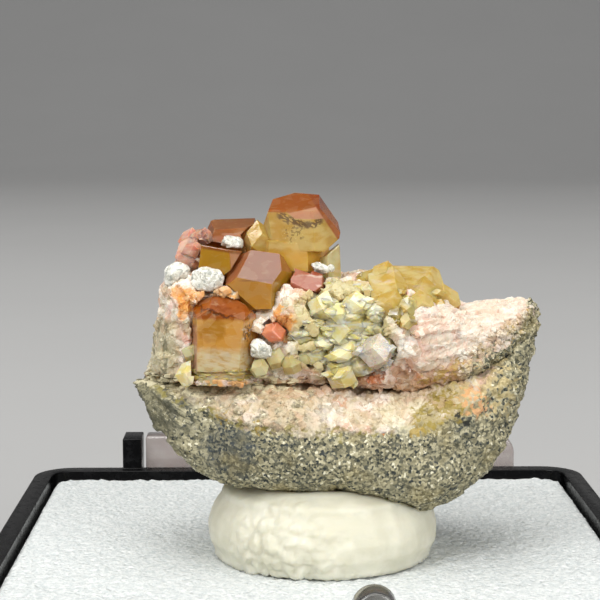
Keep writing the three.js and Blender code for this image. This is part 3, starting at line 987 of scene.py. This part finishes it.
def gem(paint, colour, absorb, density, clear=0.5, gloss=0.06, flaws=0.3):
    """The finish of a clear crystal whose colours are given; the flaw amount sets its pale feathers and its
    painted glints
    """
    feather = paint.cloud(0.35, 5, stretch=(0.7, 0.7, 1.5))
    # Glints are grains painted lighter and darker: painted highlights and painted shade that stand for
    # reflections inside the crystal.
    glint = paint.random_grain(0.6, "Blue", paint.moved(turn=(0.5, 0.4, 0.3)))
    colour = paint.layers(
        colour,
        (feather.between(0.58, 0.7), "#f3e0a8", flaws),
        (glint.between(0.6, 0.75), "#fff0c4", 0.5 * flaws),
        (glint.between(0.35, 0.2), "#8a5a1e", 0.4 * flaws))
    roughness = feather.between(0.5, 0.7) * 0.12 + gloss
    steps = paint.cloud(0.7, 3, offset=(2, 5, 1), stretch=(0.4, 0.4, 1.5))
    made = paint.surface(
        Base_Color=colour, Roughness=roughness, IOR=GEM_INDEX, Transmission_Weight=clear,
        Subsurface_Weight=0.6, Subsurface_Scale=0.5 * MM, Subsurface_Radius=(1.0, 0.65, 0.3),
        Normal=paint.bump(steps, 0.03))
    paint.depth_colour(tint(absorb), density)
    return made


def crystal(name, node, material):
    piece(name, bevelled(solid_copy(node), GEM_BEVEL), material, [node])


AMBER_INSIDE = "#f4c85c"
AMBER_DENSITY = 120


def amber(name, node, paint_name, colours, flaws=0.12):
    """An amber crystal, whose zones are painted by a rule of its own"""
    paint = Paint(paint_name)
    material = gem(paint, colours(paint), AMBER_INSIDE, AMBER_DENSITY, flaws=flaws)
    crystal(name, node, material)


# %% [markdown]
# The top crystal is golden below, with a brown-orange rim that follows its upper and
# right faces. Under the rim lies a dark veil of inclusions, with a painted pink reflection
# above it. Pale dots in its middle are painted sparkles, and its left face is painted
# pale as a painted highlight.

# %% Top crystal
PEAK = spot(0.04, -2, 20.38)


def inclusions(paint, height, across):
    """A dark, brushed veil in a shallow V, and specks that sink from it"""
    valley = (across + 0.45).size() * 0.36 + 19.3
    gap = (height - valley + (paint.cloud(0.3, 5) - 0.5) * 0.55).size()
    brushed = paint.cloud(0.16, 5, stretch=(0.5, 1, 1.5), turn=(0, 0.3, 0))
    veil = gap.between(0.3, 0.1) * across.between(-2.35, -2.0) * across.between(0.55, 0.3)
    specks = paint.blot(-1.2, 19.0, 0.6, 0.4, 0.3) * paint.random_grain(0.13, "Green").between(0.7, 0.76)
    return (veil * brushed.between(0.38, 0.46)).either(specks * 0.6)


def top_colours(paint):
    height = paint.height()
    across = paint.axis("X")
    drift = paint.cloud(0.7, 4, offset=(4, 9, 2), stretch=(0.6, 0.6, 1.3))
    # Pale dots in the middle: painted sparkles, a painted highlight.
    painted_sparkles = paint.grains(0.16).between(0.3, 0.12) * paint.blot(-1.15, 18.85, 0.75, 0.35, 0.3)
    # A small pink facet under the rim: a painted reflection of the light overhead.
    pink_reflection = height.between(19.68, 19.74).both(paint.beyond(spot(-1.53, -2, 20.0), (0.63, 0, 0.777), 0.03))
    golden = paint.layers(
        paint.mix(drift.between(0.4, 0.6), "#e0b94c", "#f0d67e"),
        (height.between(18.05, 17.6), "#f8c850", 0.85),
        (painted_sparkles, "#fbf0a0", 0.9),
        (inclusions(paint, height, across), "#56351a", 0.85),
        (pink_reflection * paint.axis("Y").between(-1.1, -1.3), "#edb08e", 0.95))
    left_rim = (height + (paint.cloud(0.5, 3) - 0.5) * 0.12).between(20.0, 20.1)
    right_rim = paint.beyond(PEAK, (0.835, 0, 0.549), 0.05)
    rim = left_rim.both(paint.beyond(PEAK, (-0.215, 0, 0.977), 0.04)).either(right_rim)
    brown = paint.mix(right_rim, "#b25f08", "#a24e12")
    brown = paint.layers(brown, (height.between(20.35, 20.05), "#cf7a12", 0.6))
    colour = paint.mix(rim, golden, brown)
    # The face that looks left and up is painted pale cream: a painted highlight from the light on the left.
    return paint.layers(colour, (paint.facing((-1, 0, 0.3), 0.8, 0.9), "#e6d9a4", 0.8))


amber("gem_top", "top_crystal", "gem_top_amber", top_colours)


# %% [markdown]
# The centre crystal is coloured face by face. The one that looks up at the viewer is
# pink-brown and the left one brown, partly the crystal's own colour and partly a painted
# reflection of the light overhead. The lower ones let one look into the golden heart.
# The mask for each face is the angle between its normal and a direction.

# %% Centre crystal and its neighbour
def face_direction(bearing, tilt):
    """The way a face looks: bearing 0 to the viewer, 90 to the right, tilt up from level"""
    b = math.radians(bearing)
    t = math.radians(tilt)
    return (math.sin(b) * math.cos(t), -math.cos(b) * math.cos(t), math.sin(t))


def by_faces(paint, colour, faces):
    """A colour for the whole, and one for each (bearing, tilt, code)"""
    for bearing, tilt, code in faces:
        mark = paint.facing(face_direction(bearing, tilt), 0.95, 0.985)
        colour = paint.mix(mark, colour, code)
    return colour


# The pink-brown and brown colours of faces that look up are partly the crystal's colour and partly a
# painted reflection of the light overhead; this holds in both tables.
CENTRE_FACES = (
    (8, 50, "#a4633a"), (-66, 46, "#c4784a"), (-6, -6, "#dc9c00"), (69, 28, "#c08048"), (62, -6, "#cfa02c"))
LEFT_FACES = ((-14, 4, "#cf9c1c"), (54, 6, "#eab084"), (60, 56, "#d8946a"), (110, 80, "#a8622a"))


def centre_colours(paint):
    height = paint.height()
    seam = paint.patch(spot(-3.2, -4.1, 16.3), 1.1, 0.3, 0.2) * height.between(16.3, 16.36)
    colour = by_faces(paint, "#c08c2c", CENTRE_FACES)
    return paint.layers(colour, (seam * height.between(16.48, 16.4), "#8c4f1c", 0.6))


def left_colours(paint):
    roof = paint.beyond(spot(-5.4, -1.9, 17.85), face_direction(110, 80), 0.06)
    return paint.layers(by_faces(paint, "#c8903a", LEFT_FACES), (roof, "#9c561c", 0.8))


amber("gem_centre", "centre_crystal", "gem_centre_amber", centre_colours)
amber("gem_amber", "amber_crystal", "gem_left_amber", left_colours)


# %% [markdown]
# The lower left crystal has the clearest zones: an orange-brown cap, a dark seam of
# inclusions below it, a golden body and a pale, ribbed foot. The cap's face that looks up
# is painted pinker, as a painted reflection. The one behind has only a thin brown roof
# over a pink face, whose pink is partly a painted reflection of the light overhead.

# %% Lower left crystal and the one behind
# The pink face that looks up is partly the crystal's colour and partly a painted reflection of the light
# overhead.
BACK_FACES = ((6, 30, "#cc8a66"), (-75, 30, "#b9703f"), (-10, 78, "#b06c34"))


def lower_left_colours(paint):
    height = paint.height()
    across = paint.axis("X")
    level = height + (paint.cloud(0.6, 4) - 0.5) * 0.5
    ribs = paint.cloud(0.3, 5, stretch=(0.45, 0.45, 1.6), turn=(0, 0.15, 0))
    foot = level.between(12.9, 12.3)
    body = paint.layers(
        "#ecb04c",
        (paint.blot(-5.8, 13.7, 0.7, 0.5, 0.5), "#cc8f14", 0.7),
        (ribs.between(0.5, 0.68), "#f3cc7c", 0.3),
        (foot, "#f2e0b0", 0.9),
        (foot * ribs.between(0.5, 0.58), "#f6ead0", 0.45),
        (foot * ribs.between(0.48, 0.4), "#d9a850", 0.6),
        (across.between(-6.55, -6.75) * level.between(14.1, 13.9), "#dca284", 0.8))
    # The cap's face that looks up is painted pinker brown: a painted reflection of the light overhead.
    cap = paint.layers(
        "#bd6410",
        (paint.facing(face_direction(20, 58), 0.9, 0.97), "#bb6a34", 0.75),
        (paint.cloud(0.7, 3).between(0.5, 0.62), "#9c4c0c", 0.6))
    slant = height + (across + 6.69) * 0.25 - 14.93
    gap = (slant + paint.cloud(0.35, 5) - 0.5).size()
    seam = gap.between(0.16, 0.05) * across.between(-6.8, -6.4) * across.between(-4.4, -4.8)
    grit = paint.patch(spot(-3.8, -5.0, 13.6), 0.55, 0.3, 0.3)
    return paint.layers(
        paint.mix(level.between(14.2, 14.45), body, cap),
        (seam, "#6b3410", 0.85),
        (grit * paint.random_grain(0.14).between(0.5, 0.6), "#6a5648", 0.8),
        (grit * paint.random_grain(0.14, "Green").between(0.7, 0.8), "#f1ece2", 0.8))


def back_colours(paint):
    roof = paint.beyond(spot(-4.7, 0.3, 18.92), face_direction(-10, 78), 0.08)
    return paint.layers(by_faces(paint, "#b4713a", BACK_FACES), (roof, "#ae6a2c", 0.85))


amber("gem_lower_left", "lower_left_crystal", "gem_lower_amber", lower_left_colours, 0.25)
amber("gem_back", "back_left_crystal", "gem_back_amber", back_colours, 0.15)

# %% [markdown]
# The small pink crystals and the two pale ones have soft clouds of colour instead of
# zones, and look milkier.

# %% Pink and pale crystals
def clouded(name, low, high, absorb, density, white=0.0, **more):
    """A crystal whose colour drifts between two codes, with white streaks"""
    paint = Paint(name)
    drift = paint.cloud(0.9, 4)
    pale = paint.cloud(0.4, 4, stretch=(0.4, 0.4, 1.3))
    streak = paint.cloud(0.35, 5, offset=(7, 3, 5), stretch=(0.35, 0.8, 1.6))
    colour = paint.layers(
        paint.mix(drift.between(0.4, 0.6), low, high),
        (pale.between(0.56, 0.68), "#f0dcc6", 0.5),
        (streak.between(0.55, 0.62), "#fbf6e6", white))
    return gem(paint, colour, absorb, density, **more)


rose = clouded("gem_rose", "#ea9c86", "#f4c0ac", "#f4bea4", 80, clear=0.3, gloss=0.12)
salmon = clouded("gem_salmon", "#b46042", "#b05a3c", "#f4bea4", 80, clear=0.3, gloss=0.14, flaws=0.1)
straw = clouded("gem_straw", "#decb88", "#e8e2b0", "#efe6bf", 60, clear=0.45, gloss=0.1)
water = clouded(
    "gem_water", "#e6d2be", "#f6ecdc", "#f8eee2", 20, white=0.6, clear=0.45, gloss=0.25, flaws=0.5)
crystal("gem_pink_plate", "pink_plate_crystal", salmon)
coral = clouded("gem_coral", "#e58f66", "#e0835c", "#f8c8aa", 40, clear=0.3, gloss=0.14, flaws=0.1)
crystal("gem_pink_small", "small_pink_crystal", coral)
crystal("gem_column", "column_crystal", straw)

# %% [markdown]
# The yellow and green crystals are crowds. Their imported solids give the big blocks, and
# many smaller ones are strewn over them, most of them lying flat, so that the light
# breaks up as it does in the real cluster. Single crystals that stand out are set one by
# one, at listed places.

# %% Clusters
green = clouded(
    "gem_lime", "#f2dc88", "#fbeec2", "#fff4cc", 20, white=0.65, clear=0.22, gloss=0.08, flaws=0.5)
honey = clouded("gem_honey", "#dcb855", "#e9d085", "#f5e096", 50, clear=0.4, gloss=0.08)


def faces_viewer(place, normal):
    return normal.y < 0.3 and normal.z < 0.7


def crowded(name, node, material, count, sizes, seed, flat):
    """A cluster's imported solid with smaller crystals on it, in one piece"""
    base = bevelled(solid_copy(node), GEM_BEVEL)
    base.normal_update()
    extra = strewn(base, count, sizes, seed, faces_viewer, 0.3, flat, 1.0, (GRAIN,))
    base.from_mesh(template(extra, name + "_small"))
    piece(name, base, material, [node])


def set_by_hand(spots):
    """Grains at given places in mm, each with a size and three turns in radians"""
    made = bmesh.new()
    for place, size, turn in spots:
        matrix = Matrix.Translation(place) @ Euler(turn).to_matrix().to_4x4() @ Matrix.Scale(size, 4)
        add_copy(made, GRAIN, matrix)
    return made


BIG_YELLOW = (
    (spot(4.2, -4.1, 14.8), 2.3, (0.3, 0.2, 0.5)),
    (spot(5.9, -3.8, 14.9), 2.0, (0.1, -0.3, 0.9)),
    (spot(7.0, -3.3, 14.7), 1.3, (0.5, 0.1, 0.2)),
    (spot(4.0, -1.6, 16.25), 2.1, (0.2, 0.1, 0.7)),
)
STRAW_AT_FOOT = (
    (spot(-2.3, -4.4, 12.0), 1.4, (0.2, 0.3, 0.4)),
    (spot(-3.2, -4.8, 11.5), 1.3, (0.4, 0.1, 0.8)),
    (spot(-1.4, -4.4, 11.7), 1.5, (0.1, 0.5, 0.1)),
    (spot(-0.7, -4.3, 12.0), 1.1, (0.5, 0.2, 0.9)),
    (spot(-7.1, -4.3, 12.3), 1.1, (0.1, 0.4, 0.3)),
)
piece("gems_big_yellow", set_by_hand(BIG_YELLOW), honey)
piece("gems_straw", set_by_hand(STRAW_AT_FOOT), straw)
piece("foot_ribs", foot_ribs, honey)
crowded("gems_green", "green_cluster", green, 120, (0.8, 1.7), 11, 0.6)
crowded("gems_yellow", "yellow_cluster", honey, 16, (0.7, 1.3), 5, 0.8)
crowded("gem_clear", "clear_crystal", water, 9, (0.5, 0.95), 41, 0.8)
crowded("gems_pink", "pink_crystals", rose, 9, (0.8, 1.4), 31, 0.9)
piece("gems_green_edge", green_edge, green)
piece("gems_yellow_front", yellow_front, honey)
crystal("gem_green_small", "small_green_crystal", green)

# %% [markdown]
# ## White sugary lumps
#
# Between the gems sit lumps of a white mineral, like wet sugar. Flat chips are cut off a
# lump first. Then it is remeshed very fine and broken in faces of two sizes. Light enters
# it a little, so it gets some subsurface scattering.

# %% White lumps
LUMP_CELL = 0.06
LUMP_CHIPS = 9
SUGAR_FACES = ((0.16, 0.8, 1.4, 0.1), (0.05, 0.3, 1.3, 0.1))


def sugar_height(place, normal):
    return 0.08 + fractured(place, SUGAR_FACES)


def sugar_white():
    paint = Paint("sugar_white")
    grain = paint.random_grain(0.2)
    colour = paint.layers(
        paint.mix(grain.between(0.2, 0.7), "#cdcbbd", "#efeee4"),
        (paint.cloud(0.28, 4).between(0.55, 0.62), "#7f857f", 0.6))
    normal = paint.bump(paint.grains(0.1), 0.02)
    return paint.surface(
        Base_Color=colour, Roughness=0.3, Subsurface_Weight=0.25, Subsurface_Scale=0.3 * MM,
        Subsurface_Radius=(1.0, 1.0, 0.9), Normal=normal)


def chipped(shape, cuts, seed, keep=0.8):
    """Breaks flat faces off a lump: each cut keeps a share of its reach from the middle"""
    dice = random.Random(seed)
    middle = sum((corner.co for corner in shape.verts), Vector()) / len(shape.verts)
    for _ in range(cuts):
        way = Vector((dice.gauss(0, 1), dice.gauss(0, 1), dice.gauss(0, 1))).normalized()
        reach = max((corner.co - middle).dot(way) for corner in shape.verts)
        cut = bmesh.ops.bisect_plane(
            shape, geom=shape.verts[:] + shape.edges[:] + shape.faces[:],
            plane_co=middle + way * (reach * keep), plane_no=way, clear_outer=True)
        bmesh.ops.holes_fill(shape, edges=only(bmesh.types.BMEdge, cut["geom_cut"]))
    return shape


sugar = sugar_white()
for seed, where in enumerate(("left", "centre", "top", "low", "neck")):
    node = "white_lump_" + where
    rough = chipped(solid_copy(node), LUMP_CHIPS, seed)
    shape = pushed(remeshed(rough, LUMP_CELL), sugar_height)
    piece("sugar_" + where, shape, sugar, [node])

# %% [markdown]
# ## Floor and light
#
# The floor is a sheet of pale paper that curves up behind, as in a small photo studio:
# a strip that is extruded back and then spun up, so that no horizon shows. One very
# large soft box hangs over the specimen, because the faces that look up mirror it. A
# weaker one from the left gives shape, and one from the right opens the shadows.

# %% Paper floor
FLOOR_HALF = 1.2
FLOOR_BACK = 0.55
CURVE_RADIUS = 0.5
CURVE_STEPS = 24
WALL_HEIGHT = 1.2
sheet = bmesh.new()
ends = [sheet.verts.new((x, -FLOOR_HALF, 0)) for x in (-FLOOR_HALF, FLOOR_HALF)]
pulled = bmesh.ops.extrude_edge_only(sheet, edges=[sheet.edges.new(ends)])["geom"]
moved = only(bmesh.types.BMVert, pulled)
bmesh.ops.translate(sheet, vec=(0, FLOOR_HALF + FLOOR_BACK, 0), verts=moved)
back = [edge for edge in only(bmesh.types.BMEdge, pulled) if set(edge.verts) == set(moved)]
spun = bmesh.ops.spin(
    sheet, geom=moved + back, cent=(0, FLOOR_BACK, CURVE_RADIUS), axis=(1, 0, 0),
    angle=math.radians(90), steps=CURVE_STEPS)["geom_last"]
risen = bmesh.ops.extrude_edge_only(sheet, edges=only(bmesh.types.BMEdge, spun))["geom"]
bmesh.ops.translate(sheet, vec=(0, 0, WALL_HEIGHT), verts=only(bmesh.types.BMVert, risen))
paper = bpy.data.meshes.new("paper")
sheet.to_mesh(paper)
sheet.free()
paper.polygons.foreach_set("use_smooth", [True] * len(paper.polygons))
floor_paint = Paint("floor_paper")
fibre = floor_paint.cloud(40, 3)
paper.materials.append(floor_paint.surface(
    Base_Color=floor_paint.mix(fibre, "#a9a9a8", "#adadac"), Roughness=0.9))
floor = bpy.data.objects.new("floor", paper)
bpy.context.scene.collection.objects.link(floor)
print("paper reaches", round(max(corner.co.z for corner in paper.vertices), 2), "m up")


# %% Light
LIT_PLACE = Vector((0, 0, 0.018))


def soft_box(name, place, side, power, colour=(1, 1, 1)):
    """A square lamp that looks at the specimen, place in metres"""
    lamp = bpy.data.lights.new(name, "AREA")
    lamp.shape = "SQUARE"
    lamp.size = side
    lamp.energy = power
    lamp.color = colour
    made = bpy.data.objects.new(name, lamp)
    made.location = place
    aim = LIT_PLACE - Vector(place)
    made.rotation_euler = aim.to_track_quat("-Z", "Y").to_euler()
    bpy.context.scene.collection.objects.link(made)


soft_box("ceiling_light", (-0.05, -0.05, 0.6), 0.6, 3.3, (1, 0.985, 0.96))
soft_box("key_light", (-0.35, -0.4, 0.42), 0.3, 2.6)
soft_box("fill_light", (0.4, -0.45, 0.3), 0.4, 2.6)

air = bpy.data.worlds.new("studio_air")
air.use_nodes = True
air.node_tree.nodes["Background"].inputs["Color"].default_value = (0.5, 0.5, 0.52, 1)
air.node_tree.nodes["Background"].inputs["Strength"].default_value = 0.36
bpy.context.scene.world = air
bpy.context.scene.view_settings.view_transform = "Standard"
